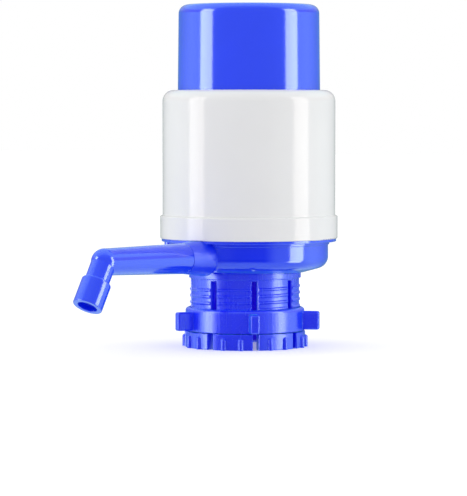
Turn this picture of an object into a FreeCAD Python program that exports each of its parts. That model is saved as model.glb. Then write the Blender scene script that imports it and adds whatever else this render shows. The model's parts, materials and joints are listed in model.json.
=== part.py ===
"""Hand pump for a water jug: a press cap drives a bellows, whose air lifts the water to the spout.

Millimetres, +Z up. The origin is on the press cap's axis, level with the jug's rim, and the spout
points along -X. Sizes live in the sheet, and every feature is bound to them.
"""

import FreeCAD, Part
import math
import os

import Sketcher
from FreeCAD import Placement, Rotation, Vector

# Driving sizes, in millimetres and degrees. Levels are heights above the jug's rim.
SIZES = {
    # edges and running room
    "edge": 0.4,
    "soft_edge": 0.7,
    "fit": 0.15,
    "overrun": 1.0,
    # jug neck and collet, whose axis is set towards the spout
    "neck_inset": 3.9,
    "collet_bore": 27.6,
    "collet_wall": 3.95,
    "collet_length": 39.6,
    "collet_flange_thick": 3.3,
    "collet_opening": 22.0,
    "mouth_chamfer": 1.0,
    "spigot_inset": 0.1,
    "spigot_height": 1.5,
    "collar_step": 1.0,
    "collar_height": 3.2,
    "thread_depth": 0.55,
    "thread_pitch": 3.8,
    "thread_root_width": 1.9,
    "thread_crest_width": 0.7,
    "thread_start": 2.6,
    "thread_end": 4.0,
    "slot_width": 3.2,
    "slot_top": 0.2,
    "slot_turn": 1.4,
    "slot_bevel": 0.6,
    "foot_height": 9.25,
    "foot_step": 3.55,
    "rib_height": 7.1,
    "rib_radius": 1.5,
    "rib_step": 1.5,
    "rib_angle": 8.2,
    "rib_dome": 1.4,
    # lock ring
    "ring_wall": 2.25,
    "ring_height": 13.5,
    "ring_shoulder": 2.0,
    "ring_gap": 0.35,
    "thread_clearance": 0.25,
    "wing_reach": 9.2,
    "wing_turn": 8.0,
    "wing_thick": 5.2,
    "wing_height": 10.8,
    "wing_lift": 0.6,
    "wing_round": 1.2,
    # gasket on the jug's rim
    "gasket_thick": 2.0,
    "gasket_width": 7.0,
    "gasket_step": 0.4,
    # base
    "base_inset": 4.1,
    "base_wall": 2.8,
    "base_floor": 2.6,
    "base_drop": 3.7,
    "base_round": 7.0,
    "band_step": 0.7,
    "band_height": 1.7,
    "rim_inset": 0.8,
    "rim_thick": 1.7,
    "rim_level": 23.3,
    "collar_wall": 2.2,
    "collar_rise": 9.2,
    "tab_reach": 2.9,
    "tab_angle": 126.0,
    "tab_width": 18.0,
    "tab_round": 3.0,
    # water way
    "socket_radius": 5.1,
    "socket_depth": 9.0,
    "column_wall": 2.5,
    "column_foot": 0.3,
    "riser_radius": 4.0,
    "channel_radius": 4.4,
    "channel_wall": 2.0,
    "vent_radius": 2.2,
    "vent_circle": 15.0,
    "tube_seal_radius": 0.6,
    "tube_seal_level": 4.2,
    # spout
    "spout_drop": 9.4,
    "boss_radius": 8.7,
    "boss_taper": 6.5,
    "boss_reach": 63.8,
    "boss_bore": 6.6,
    "spigot_length": 15.5,
    "spigot_clearance": 0.08,
    "spout_gap": 0.3,
    "arm_radius": 8.7,
    "arm_end_radius": 7.45,
    "arm_reach": 134.0,
    "arm_rise": 0.9,
    "leg_angle": 31.6,
    "leg_shift": 0.4,
    "leg_top_radius": 6.9,
    "leg_radius": 6.8,
    "taper_gap": 1.0,
    "leg_length": 24.5,
    "water_radius": 4.2,
    "elbow_swell": 0.08,
    "spout_seal_radius": 0.6,
    "spout_seal_pitch": 6.0,
    "groove_clearance": 0.08,
    "sleeve_radius": 8.3,
    "sleeve_length": 16.0,
    "sleeve_shoulder": 1.3,
    "sleeve_grip": 12.5,
    "mouth_radius": 5.5,
    "sleeve_clearance": 0.05,
    # valve deck and its screws
    "deck_thick": 2.4,
    "deck_seal_radius": 0.6,
    "deck_seal_inset": 0.4,
    "boss_screw_radius": 3.2,
    "screw_inset": 5.0,
    "screw_radius": 1.45,
    "screw_pilot": 1.2,
    "screw_hole": 1.7,
    "screw_head": 2.8,
    "screw_head_thick": 2.0,
    "screw_length": 16.0,
    "screw_point": 2.0,
    "screw_tip": 0.3,
    "cross_width": 0.8,
    "cross_depth": 1.2,
    "clamp_thick": 4.0,
    "clamp_width": 9.6,
    # valves
    "valve_inset": 9.1,
    "valve_radius": 7.0,
    "valve_rim": 0.5,
    "valve_dome": 1.6,
    "stem_radius": 1.5,
    "stem_clearance": 0.1,
    "bulb_radius": 2.2,
    "bulb_height": 1.4,
    "port_radius": 1.2,
    "port_circle": 4.4,
    # bellows and spring
    "bellows_gap": 1.5,
    "bellows_root": 27.0,
    "bellows_wall": 1.4,
    "bellows_flange": 1.6,
    "fold_round": 0.8,
    "bellows_opening": 12.0,
    "plate_thick": 2.6,
    "plate_clearance": 0.5,
    "spring_radius": 15.0,
    "wire_radius": 0.9,
    "spring_pitch": 13.6,
    "seat_height": 3.0,
    "seat_wall": 2.0,
    "seat_clearance": 0.4,
    "coil_gap": 0.05,
    # housing
    "housing_radius": 50.3,
    "housing_wall": 2.2,
    "housing_top": 109.5,
    "housing_round": 6.5,
    "band_swell": 1.4,
    "band_top": 36.3,
    "band_bevel": 0.7,
    "opening_gap": 0.45,
    "guide_wall": 2.0,
    "guide_depth": 7.1,
    # press cap
    "cap_top": 159.0,
    "cap_inset": 8.85,
    "cap_draft": 0.6,
    "cap_wall": 2.0,
    "cap_roof": 2.4,
    "cap_round": 5.2,
    "flange_gap": 0.6,
    "cap_flange_thick": 2.2,
    "stop_gap": 0.1,
    "hub_inset": 2.5,
    "hub_width": 6.0,
    "hub_height": 5.0,
    "window_width": 6.0,
    "window_height": 2.6,
    "plate_screw_length": 9.0,
}
FOLDS = 9
FINGERS = 8
WINGS = 5
SCREWS = 4
PORTS = 6
VENTS = 4

doc = FreeCAD.newDocument("jug_pump")
sheet = doc.addObject("Spreadsheet::Sheet", "sizes")


class Size:
    """A number that remembers the sheet expression behind it, so that a feature can be bound to it."""

    def __init__(self, number, text):
        self.number = number
        self.text = text

    @staticmethod
    def of(value):
        return value if isinstance(value, Size) else Size(float(value), repr(float(value)))

    def __add__(self, other):
        other = Size.of(other)
        return Size(self.number + other.number, f"({self.text} + {other.text})")

    def __radd__(self, other):
        return Size.of(other) + self

    def __sub__(self, other):
        other = Size.of(other)
        return Size(self.number - other.number, f"({self.text} - {other.text})")

    def __rsub__(self, other):
        return Size.of(other) - self

    def __mul__(self, other):
        other = Size.of(other)
        return Size(self.number * other.number, f"({self.text} * {other.text})")

    def __rmul__(self, other):
        return Size.of(other) * self

    def __truediv__(self, other):
        other = Size.of(other)
        return Size(self.number / other.number, f"({self.text} / {other.text})")

    def __neg__(self):
        return Size(-self.number, f"(-1 * {self.text})")

    def sin(self):
        return Size(math.sin(math.radians(self.number)), f"sin({self.text} * 1deg)")

    def cos(self):
        return Size(math.cos(math.radians(self.number)), f"cos({self.text} * 1deg)")

    def tan(self):
        return Size(math.tan(math.radians(self.number)), f"tan({self.text} * 1deg)")


class Sheet:
    """The driving sizes, each as an attribute with the name of its cell."""

    def __init__(self, sizes):
        for row, (name, number) in enumerate(sizes.items(), start=1):
            sheet.set(f"A{row}", name)
            sheet.set(f"B{row}", str(number))
            sheet.setAlias(f"B{row}", name)
            setattr(self, name, Size(float(number), f"sizes.{name}"))


S = Sheet(SIZES)
doc.recompute()


# ---------------------------------------------------------------- drawing helpers


def bind(thing, prop, size):
    """Ties a property to the sheet."""
    thing.setExpression(prop, Size.of(size).text)


def place(thing, x=0, y=0, z=0, axis=None, angle=0):
    """Puts an object at a point, turned by an angle about an axis."""
    if axis:
        thing.Placement = Placement(Vector(0, 0, 0), Rotation(Vector(*axis), Size.of(angle).number))
        bind(thing, "Placement.Rotation.Angle", angle)
    for letter, size in zip("xyz", (x, y, z)):
        bind(thing, f"Placement.Base.{letter}", size)
    return thing


def new_body(name):
    body = doc.addObject("PartDesign::Body", name)
    body.Label = name
    return body


def new_sketch(body, name, role="XZ_Plane", lift=0, turn=None):
    """A sketch on one of the body's own planes, moved along its normal or turned about Z."""
    sketch = body.newObject("Sketcher::SketchObject", f"{body.Name}_{name}")
    plane = next(f for f in body.Origin.OriginFeatures if f.Role == role)
    sketch.AttachmentSupport = (plane, [""])
    sketch.MapMode = "FlatFace"
    if turn is not None:
        upward = Vector(0, 0, 1) if role == "XY_Plane" else Vector(0, 1, 0)
        sketch.AttachmentOffset = Placement(Vector(0, 0, 0), Rotation(upward, turn.number))
        bind(sketch, "AttachmentOffset.Rotation.Angle", turn)
    bind(sketch, "AttachmentOffset.Base.z", lift)
    return sketch


def pin(sketch, geometry, point, x, y):
    """Fixes a point of a sketch by two dimensions from its origin."""
    for kind, size, axis in (("DistanceX", x, -2), ("DistanceY", y, -1)):
        if abs(size.number) < 1e-9:
            sketch.addConstraint(Sketcher.Constraint("PointOnObject", geometry, point, axis))
            continue
        row = sketch.addConstraint(Sketcher.Constraint(kind, -1, 1, geometry, point, size.number))
        sketch.setExpression(f"Constraints[{row}]", size.text)


def outline(sketch, corners):
    """Draws a closed outline through corners (x, y) or (x, y, rounding)."""
    corners = [tuple(Size.of(value) for value in corner) for corner in corners]
    places = [Vector(c[0].number, c[1].number, 0) for c in corners]
    count = len(corners)
    starts, ends, arcs = list(places), list(places), [None] * count
    for k, corner in enumerate(corners):
        if len(corner) < 3:
            continue
        back = (places[k - 1] - places[k]).normalize()
        on = (places[(k + 1) % count] - places[k]).normalize()
        half = back.getAngle(on) / 2
        run = corner[2].number / math.tan(half)
        ends[k] = places[k] + back * run
        starts[k] = places[k] + on * run
        middle = places[k] + (back + on).normalize() * (corner[2].number * (1 / math.sin(half) - 1))
        arcs[k] = Part.Arc(ends[k], middle, starts[k])
    lines = []
    for k in range(count):
        lines.append(sketch.addGeometry(Part.LineSegment(starts[k], ends[(k + 1) % count])))
    for k, corner in enumerate(corners):
        before, after = lines[k - 1], lines[k]
        if arcs[k] is None:
            sketch.addConstraint(Sketcher.Constraint("Coincident", before, 2, after, 1))
            pin(sketch, after, 1, corner[0], corner[1])
            continue
        arc = sketch.addGeometry(arcs[k])
        swapped = (sketch.getPoint(arc, 1) - ends[k]).Length > (sketch.getPoint(arc, 2) - ends[k]).Length
        first, last = (2, 1) if swapped else (1, 2)
        sketch.addConstraint(Sketcher.Constraint("Tangent", before, 2, arc, first))
        sketch.addConstraint(Sketcher.Constraint("Tangent", arc, last, after, 1))
        row = sketch.addConstraint(Sketcher.Constraint("Radius", arc, corner[2].number))
        sketch.setExpression(f"Constraints[{row}]", corner[2].text)
        vertex = sketch.addGeometry(Part.Point(places[k]), True)
        pin(sketch, vertex, 1, corner[0], corner[1])
        sketch.addConstraint(Sketcher.Constraint("PointOnObject", vertex, 1, before))
        sketch.addConstraint(Sketcher.Constraint("PointOnObject", vertex, 1, after))
    return sketch


def circle(sketch, x, y, radius):
    """Draws a circle about a point of the sketch."""
    x, y, radius = Size.of(x), Size.of(y), Size.of(radius)
    ring = sketch.addGeometry(Part.Circle(Vector(x.number, y.number, 0), Vector(0, 0, 1), radius.number))
    if x.number == 0 and y.number == 0:
        sketch.addConstraint(Sketcher.Constraint("Coincident", ring, 3, -1, 1))
    else:
        pin(sketch, ring, 3, x, y)
    row = sketch.addConstraint(Sketcher.Constraint("Radius", ring, radius.number))
    sketch.setExpression(f"Constraints[{row}]", radius.text)
    return sketch


def box_outline(sketch, x0, x1, y0, y1):
    return outline(sketch, [(x0, y0), (x1, y0), (x1, y1), (x0, y1)])


def volume(body):
    return body.Tip.Shape.Volume if body.Tip else 0.0


def feature(body, kind, name, sketch, cuts=False, **settings):
    """Adds a feature made from a sketch, and makes sure that it changed the body the right way."""
    before = volume(body)
    made = body.newObject(f"PartDesign::{kind}", f"{body.Name}_{name}")
    made.Profile = sketch
    for key, value in settings.items():
        if isinstance(value, Size):
            bind(made, key, value)
        else:
            setattr(made, key, value)
    doc.recompute()
    change = made.Shape.Volume - before
    if (change < 0) != cuts or abs(change) < 1e-6:
        raise RuntimeError(f"{made.Name} changes the volume by {change:.3f}")
    return made


def turned(body, name, corners, cuts=False):
    """A solid or a cut turned about the body's Z axis from an outline in (radius, height)."""
    sketch = outline(new_sketch(body, f"{name}_outline"), corners)
    kind = "Groove" if cuts else "Revolution"
    return feature(body, kind, name, sketch, cuts, ReferenceAxis=(sketch, ["V_Axis"]), Angle=360)


def repeated(body, name, originals, sketch, axis, count):
    """Copies features round the body's Z axis."""
    before = volume(body)
    pattern = body.newObject("PartDesign::PolarPattern", f"{body.Name}_{name}")
    pattern.Originals = originals
    pattern.Axis = (sketch, [axis])
    pattern.Angle = 360
    pattern.Occurrences = count
    body.Tip = pattern
    doc.recompute()
    if abs(pattern.Shape.Volume - before) < 1e-6:
        raise RuntimeError(f"{pattern.Name} changes nothing")
    return pattern


def holes(body, name, radius, circle_radius, level, depth, count, angle=0.0):
    """Round holes cut downwards from a level, evenly spaced on a circle about Z."""
    sketch = new_sketch(body, f"{name}_sketch", "XY_Plane", lift=level)
    x, y = circle_radius * math.cos(angle), circle_radius * math.sin(angle)
    circle(sketch, x, y, radius)
    cut = feature(body, "Pocket", name, sketch, True, Length=Size.of(depth))
    return repeated(body, f"{name}_round", [cut], sketch, "N_Axis", count) if count > 1 else cut


def cylinder(name, radius, length):
    solid = doc.addObject("Part::Cylinder", name)
    bind(solid, "Radius", radius)
    bind(solid, "Height", length)
    return solid


def cone(name, start_radius, end_radius, length):
    solid = doc.addObject("Part::Cone", name)
    bind(solid, "Radius1", start_radius)
    bind(solid, "Radius2", end_radius)
    bind(solid, "Height", length)
    return solid


def sphere(name, radius):
    solid = doc.addObject("Part::Sphere", name)
    bind(solid, "Radius", radius)
    return solid


def torus(name, radius, section):
    solid = doc.addObject("Part::Torus", name)
    bind(solid, "Radius1", radius)
    bind(solid, "Radius2", section)
    return solid


def united(name, solids):
    whole = doc.addObject("Part::MultiFuse", name)
    whole.Shapes = solids
    return whole


def cut_from(name, solid, tool):
    whole = doc.addObject("Part::Cut", name)
    whole.Base = solid
    whole.Tool = tool
    return whole


QUARTER = math.pi / 4

# ---------------------------------------------------------------- levels and fits

collet_radius = S.collet_bore + S.collet_wall
thread_crest = collet_radius + S.thread_depth
collar_radius = collet_radius + S.collar_step
spigot_radius = collet_radius - S.spigot_inset
collet_flange_top = S.gasket_thick + S.collet_flange_thick
base_under = collet_flange_top - S.spigot_height
gasket_pocket = S.collet_bore - S.gasket_step
foot_top = -S.collet_length + S.foot_height
foot_radius = collet_radius + S.foot_step

ring_bore = thread_crest + S.thread_clearance
ring_radius = ring_bore + S.ring_wall
ring_bottom = foot_top + S.ring_gap
ring_top = ring_bottom + S.ring_height

thread_length = S.collet_length - S.foot_height - S.thread_start - S.thread_end

housing_inner = S.housing_radius - S.housing_wall
band_radius = S.housing_radius + S.band_swell
rim_radius = band_radius - S.rim_inset
base_radius = S.housing_radius - S.base_inset
floor_top = collet_flange_top + S.base_floor
cavity_radius = base_radius - S.base_wall
rim_under = S.rim_level - S.rim_thick
base_collar = housing_inner - S.fit
base_collar_inner = base_collar - S.collar_wall
deck_radius = base_collar_inner - S.fit
ledge = S.rim_level - S.deck_thick
spout_level = S.rim_level - S.spout_drop
column_radius = S.socket_radius + S.column_wall
pipe_radius = S.channel_radius + S.channel_wall
channel_end = S.boss_reach - S.spigot_length - S.spout_gap
deck_seal_circle = base_collar_inner - S.deck_seal_inset - S.groove_clearance - S.deck_seal_radius
tube_seal_circle = S.socket_radius + S.tube_seal_radius

deck_top = S.rim_level
bellows_foot = deck_top + S.bellows_flange
clamp_top = bellows_foot + S.clamp_thick
screw_circle = deck_radius - S.screw_inset
clamp_inner = deck_radius - S.clamp_width
bellows_crest = clamp_inner - S.bellows_gap
valve_offset = bellows_crest - S.bellows_wall - S.valve_inset
seat_radius = S.spring_radius - S.wire_radius - S.seat_clearance

roof_level = S.cap_top - S.cap_roof
hub_level = roof_level - S.hub_height
plate_level = hub_level - S.bellows_flange
plate_under = plate_level - S.plate_thick
guide_level = S.housing_top - S.guide_depth
cap_foot_radius = S.housing_radius - S.cap_inset
cap_radius = cap_foot_radius - S.cap_draft
cap_flange_radius = housing_inner - S.flange_gap
opening_radius = cap_foot_radius + S.opening_gap
hub_outer = S.bellows_root - S.hub_inset
hub_inner = hub_outer - S.hub_width
plate_screw_circle = hub_outer - S.hub_width / 2

sleeve_start = S.leg_length - S.sleeve_grip
leg_taper = sleeve_start - S.taper_gap


# ---------------------------------------------------------------- clamp on the jug's neck


def slot_bevels(body, name, radius, level, height):
    """Breaks the outer edges of the slots over a height where the fingers have the given radius."""
    sketch = new_sketch(body, f"{name}_outline", "XY_Plane", lift=level)
    narrow = S.slot_width / 2 - S.overrun
    start, end = radius - S.slot_bevel - S.overrun, radius + S.overrun
    wide = narrow + end - start
    outline(sketch, [(start, -narrow), (end, -wide), (end, wide), (start, narrow)])
    cut = feature(body, "Pocket", name, sketch, True, Length=height, Reversed=True)
    repeated(body, f"{name}_round", [cut], sketch, "N_Axis", FINGERS)


def make_neck_collet():
    """Slotted fingers with an outside thread and a ribbed foot, closed above by the gasket's seat."""
    body = new_body("neck_collet")
    turned(body, "blank", [
        (0, -S.collet_length),
        (foot_radius, -S.collet_length, S.edge),
        (foot_radius, foot_top, S.edge),
        (collet_radius, foot_top),
        (collet_radius, base_under - S.collar_height),
        (collar_radius, base_under - S.collar_height, S.edge),
        (collar_radius, base_under),
        (spigot_radius, base_under),
        (spigot_radius, collet_flange_top),
        (0, collet_flange_top),
    ])
    rib_top = -S.collet_length + S.rib_height
    rib_axis = foot_radius + S.rib_step - S.rib_radius
    rib_side = foot_radius + S.rib_step
    finger_centre = 360 / FINGERS / 2
    for side, name in ((-1, "left_rib"), (1, "right_rib")):
        sketch = new_sketch(body, f"{name}_outline", turn=finger_centre + side * S.rib_angle)
        outline(sketch, [
            (rib_axis, -S.collet_length),
            (rib_side, -S.collet_length),
            (rib_side, rib_top, S.rib_dome),
            (rib_axis, rib_top),
        ])
        low, high = Vector(rib_axis.number, 0, 0), Vector(rib_axis.number, -1, 0)
        spindle = sketch.addGeometry(Part.LineSegment(low, high), True)
        pin(sketch, spindle, 1, rib_axis, Size.of(0))
        pin(sketch, spindle, 2, rib_axis, Size.of(-1))
        rib = feature(body, "Revolution", name, sketch, ReferenceAxis=(sketch, ["Axis0"]), Angle=360)
        repeated(body, f"{name}_round", [rib], sketch, "V_Axis", FINGERS)
    thread = new_sketch(body, "thread_outline")
    low = -S.thread_start - thread_length
    root, crest = S.thread_root_width / 2, S.thread_crest_width / 2
    inside = collet_radius - S.collet_wall / 4
    outline(thread, [
        (inside, low - root),
        (collet_radius, low - root),
        (thread_crest, low - crest),
        (thread_crest, low + crest),
        (collet_radius, low + root),
        (inside, low + root),
    ])
    feature(body, "AdditiveHelix", "thread", thread, ReferenceAxis=(thread, ["V_Axis"]), Mode=0,
            Pitch=S.thread_pitch, Height=thread_length, LeftHanded=False)
    turned(body, "inside", [
        (0, -S.collet_length),
        (S.collet_bore + S.mouth_chamfer, -S.collet_length),
        (S.collet_bore, -S.collet_length + S.mouth_chamfer),
        (S.collet_bore, 0),
        (gasket_pocket, 0),
        (gasket_pocket, S.gasket_thick),
        (S.collet_opening, S.gasket_thick),
        (S.collet_opening, collet_flange_top),
        (0, collet_flange_top),
    ], cuts=True)
    slot = new_sketch(body, "slot_outline", "XY_Plane", lift=-S.collet_length)
    box_outline(slot, S.collet_opening, foot_radius + S.foot_step, -S.slot_width / 2, S.slot_width / 2)
    cut = feature(body, "Pocket", "slot", slot, True, Length=S.collet_length - S.slot_top, Reversed=True)
    repeated(body, "slots", [cut], slot, "N_Axis", FINGERS)
    slot_bevels(body, "foot_bevel", foot_radius, -S.collet_length, S.foot_height)
    slot_bevels(body, "finger_bevel", collet_radius, foot_top, -S.slot_top - foot_top)
    return place(body, x=-S.neck_inset, axis=(0, 0, 1), angle=S.slot_turn)


def make_lock_ring():
    """Winged ring that squeezes the fingers on the neck."""
    body = new_body("lock_ring")
    turned(body, "ring", [
        (ring_bore, ring_bottom),
        (ring_radius, ring_bottom, S.edge),
        (ring_radius, ring_top, S.ring_shoulder),
        (ring_bore, ring_top),
    ])
    sketch = new_sketch(body, "wing_outline", "XY_Plane", lift=ring_bottom + S.wing_lift)
    half = S.wing_thick / 2
    inner, tip = ring_bore + S.ring_wall / 2, ring_radius + S.wing_reach
    outline(sketch, [(inner, -half), (tip, -half), (tip, half), (inner, half)])
    wing = feature(body, "Pad", "wing", sketch, Length=S.wing_height)
    wings = repeated(body, "wings", [wing], sketch, "N_Axis", WINGS)
    smoothed = body.newObject("PartDesign::Fillet", "lock_ring_wing_rounding")
    clear = ring_radius.number + S.wing_round.number
    edges = []
    for number, edge in enumerate(wings.Shape.Edges, start=1):
        middle = edge.CenterOfMass
        if math.hypot(middle.x, middle.y) > clear:
            edges.append(f"Edge{number}")
    smoothed.Base = (wings, edges)
    bind(smoothed, "Radius", S.wing_round)
    body.Tip = smoothed
    return place(body, x=-S.neck_inset, axis=(0, 0, 1), angle=S.wing_turn)


def make_neck_gasket():
    body = new_body("neck_gasket")
    outer = gasket_pocket - S.fit
    turned(body, "ring", [
        (outer - S.gasket_width, 0),
        (outer, 0, S.edge),
        (outer, S.gasket_thick),
        (outer - S.gasket_width, S.gasket_thick),
    ])
    return place(body, x=-S.neck_inset)


# ---------------------------------------------------------------- base and water way


def make_base_body():
    """Dish that holds the valve deck, the tube socket, the water channel and the spout's boss."""
    body = new_body("base_body")
    seal_half = S.deck_seal_radius + S.groove_clearance
    seal_outer, seal_inner = deck_seal_circle + seal_half, deck_seal_circle - seal_half
    seal_floor = ledge - 2 * seal_half
    tube_low, tube_high = S.tube_seal_level - seal_half, S.tube_seal_level + seal_half
    tube_groove = S.socket_radius + 2 * S.tube_seal_radius + S.groove_clearance
    turned(body, "dish", [
        (0, base_under),
        (collar_radius, base_under),
        (base_radius, base_under + S.base_drop, S.base_round),
        (base_radius, rim_under - S.band_height),
        (base_radius + S.band_step, rim_under - S.band_height, S.edge),
        (base_radius + S.band_step, rim_under),
        (rim_radius, rim_under, S.edge),
        (rim_radius, S.rim_level),
        (base_collar, S.rim_level),
        (base_collar, S.rim_level + S.collar_rise, S.edge),
        (base_collar_inner, S.rim_level + S.collar_rise),
        (base_collar_inner, ledge),
        (cavity_radius, ledge),
        (cavity_radius, floor_top + S.base_drop / 2, S.base_round - S.base_wall),
        (spigot_radius, floor_top),
        (0, floor_top),
    ])
    neck_boss = new_sketch(body, "neck_boss_ring", "XY_Plane", lift=base_under)
    circle(neck_boss, -S.neck_inset, 0, collar_radius)
    feature(body, "Pad", "neck_boss", neck_boss, Length=floor_top - base_under)
    recess = new_sketch(body, "neck_recess_ring", "XY_Plane", lift=base_under)
    circle(recess, -S.neck_inset, 0, spigot_radius + S.fit)
    feature(body, "Pocket", "neck_recess", recess, True, Length=S.spigot_height, Reversed=True)
    column_top = spout_level + pipe_radius
    turned(body, "column", [
        (0, S.column_foot),
        (column_radius, S.column_foot, S.edge),
        (column_radius, column_top),
        (0, column_top),
    ])
    pipe = circle(new_sketch(body, "pipe_ring", "YZ_Plane"), 0, spout_level, pipe_radius)
    feature(body, "Pad", "pipe", pipe, Length=cavity_radius + S.base_wall / 2, Reversed=True)
    boss_start = cavity_radius + S.base_wall / 4
    boss_length = S.boss_reach - boss_start
    boss = new_sketch(body, "boss_ring", "YZ_Plane", lift=-boss_start)
    circle(boss, 0, spout_level, S.boss_radius + boss_length * S.boss_taper.tan())
    feature(body, "Pad", "boss", boss, Length=boss_length, Reversed=True, TaperAngle=-S.boss_taper)
    turned(body, "boss_top", [
        (base_collar, S.rim_level),
        (S.boss_reach, S.rim_level),
        (S.boss_reach, S.rim_level + S.collar_rise),
        (base_collar, S.rim_level + S.collar_rise),
    ], cuts=True)
    turned(body, "deck_seat", [
        (0, ledge),
        (seal_inner, ledge),
        (seal_inner, seal_floor),
        (seal_outer, seal_floor),
        (seal_outer, ledge),
        (base_collar_inner, ledge),
        (base_collar_inner, S.rim_level + S.collar_rise + S.overrun),
        (0, S.rim_level + S.collar_rise + S.overrun),
    ], cuts=True)
    post = new_sketch(body, "post_ring", "XY_Plane", lift=floor_top)
    at = screw_circle * math.cos(QUARTER)
    circle(post, at, at, S.boss_screw_radius)
    posts = feature(body, "Pad", "post", post, Length=ledge - floor_top)
    repeated(body, "posts", [posts], post, "N_Axis", SCREWS)
    channel = circle(new_sketch(body, "channel_ring", "YZ_Plane"), 0, spout_level, S.channel_radius)
    feature(body, "Pocket", "channel", channel, True, Length=channel_end + S.overrun, Reversed=False)
    socket = new_sketch(body, "spout_ring", "YZ_Plane", lift=-channel_end)
    circle(socket, 0, spout_level, S.boss_bore)
    feature(body, "Pocket", "spout_socket", socket, True, Length=S.boss_reach, Reversed=False)
    turned(body, "riser", [
        (0, S.column_foot),
        (S.socket_radius + S.edge, S.column_foot),
        (S.socket_radius, S.column_foot + S.edge),
        (S.socket_radius, tube_low),
        (tube_groove, tube_low),
        (tube_groove, tube_high),
        (S.socket_radius, tube_high),
        (S.socket_radius, S.column_foot + S.socket_depth),
        (S.riser_radius, S.column_foot + S.socket_depth),
        (S.riser_radius, spout_level),
        (0, spout_level),
    ], cuts=True)
    holes(body, "vent", S.vent_radius, S.vent_circle, floor_top, S.base_floor, VENTS, QUARTER)
    pilot_depth = S.screw_length - (clamp_top - ledge) + S.overrun
    holes(body, "pilot", S.screw_pilot, screw_circle, ledge, pilot_depth, SCREWS, QUARTER)
    tab = new_sketch(body, "tab_outline", "XY_Plane", lift=rim_under, turn=S.tab_angle)
    reach, side = base_radius + S.tab_reach, S.tab_width / 2
    inner = base_collar_inner + S.fit
    outline(tab, [(inner, -side), (reach, -side, S.tab_round), (reach, side, S.tab_round), (inner, side)])
    feature(body, "Pad", "snap_tab", tab, Length=S.band_height, Reversed=True)
    return body


def ring_seal(name, radius, section, level):
    seal = torus(name, radius, section)
    seal.Label = name
    return place(seal, z=level)


def make_deck_seal():
    return ring_seal("deck_seal", deck_seal_circle, S.deck_seal_radius, ledge - S.deck_seal_radius)


def make_tube_seal():
    return ring_seal("tube_seal", tube_seal_circle, S.tube_seal_radius, S.tube_seal_level)


# ---------------------------------------------------------------- spout


def make_spout():
    """Tapered arm with a bent leg, on a spigot that turns in the base's boss."""
    plug_radius = S.boss_bore - S.spigot_clearance
    start = S.boss_reach + S.spout_gap
    arm_length = S.arm_reach - start
    bend_x, bend_z = -S.arm_reach, spout_level + arm_length * S.arm_rise.tan()
    seal_centre = plug_radius - S.spout_seal_radius + S.spigot_clearance / 4
    outward = (0, -1, 0)
    arm_turn = 90 - S.arm_rise
    leg_turn = 180 - S.leg_angle

    def along_arm(solid, x):
        return place(solid, x=-x, z=spout_level, axis=outward, angle=arm_turn)

    def along_boss(solid, x):
        return place(solid, x=-x, z=spout_level, axis=outward, angle=90)

    def along_leg(solid, distance):
        x = bend_x - S.leg_shift - distance * S.leg_angle.sin()
        z = bend_z - distance * S.leg_angle.cos()
        return place(solid, x=x, z=z, axis=outward, angle=leg_turn)

    plug_end = start - S.spigot_length
    plug = along_boss(cylinder("plug", plug_radius, S.spigot_length + S.overrun), plug_end)
    arm = along_arm(cone("arm", S.arm_radius, S.arm_end_radius, arm_length), start)
    elbow = place(sphere("elbow", S.arm_end_radius + S.elbow_swell), x=bend_x, z=bend_z)
    leg_top = along_leg(cone("leg_top", S.leg_top_radius, S.leg_radius, leg_taper), Size.of(0))
    leg = along_leg(cylinder("leg", S.leg_radius, S.leg_length - leg_taper), leg_taper)
    outside = united("spout_outside", [plug, arm, elbow, leg_top, leg])

    inlet_length = S.spigot_length + 2 * S.overrun
    inlet = along_boss(cylinder("inlet", S.channel_radius, inlet_length), plug_end - S.overrun)
    bore = along_arm(cylinder("arm_bore", S.water_radius, arm_length), start)
    turn_bore = place(sphere("elbow_bore", S.water_radius + S.elbow_swell), x=bend_x, z=bend_z)
    leg_bore = along_leg(cylinder("leg_bore", S.water_radius, S.leg_length + S.overrun), Size.of(0))
    seals, grooves = [], []
    for number in (1, 2):
        x = plug_end + (number - 1 / 3) * S.spout_seal_pitch
        seals.append(along_boss(torus(f"spout_seal_{number}", seal_centre, S.spout_seal_radius), x))
        groove = torus(f"groove_{number}", seal_centre, S.spout_seal_radius + S.groove_clearance)
        grooves.append(along_boss(groove, x))
    inside = united("spout_inside", [inlet, bore, turn_bore, leg_bore, *grooves])
    spout = cut_from("spout_arm", outside, inside)
    spout.Label = "spout_arm"
    pair = doc.addObject("Part::Compound", "spout_seals")
    pair.Links = seals
    pair.Label = "spout_seals"

    sleeve = new_body("nozzle_sleeve")
    end = sleeve_start + S.sleeve_length
    grip = S.leg_radius + S.sleeve_clearance
    turned(sleeve, "sleeve", [
        (grip, sleeve_start),
        (S.sleeve_radius, sleeve_start, S.sleeve_shoulder),
        (S.sleeve_radius, end, S.edge),
        (S.mouth_radius, end, S.edge),
        (S.mouth_radius, S.leg_length),
        (grip, S.leg_length),
    ])
    along_leg(sleeve, Size.of(0))
    return [spout, pair, sleeve]


# ---------------------------------------------------------------- valve deck


def umbrella(name, under, thick, x=0):
    """Rubber valve: a shallow dome under a plate, held by a stem with a bulb above it."""
    body = new_body(name)
    turned(body, "dome", [
        (0, -S.valve_dome),
        (S.valve_radius, -S.valve_rim),
        (S.valve_radius, 0),
        (S.stem_radius, 0),
        (S.stem_radius, thick),
        (S.bulb_radius, thick),
        (S.stem_radius, thick + S.bulb_height),
        (0, thick + S.bulb_height),
    ])
    return place(body, x=x, z=under)


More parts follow.
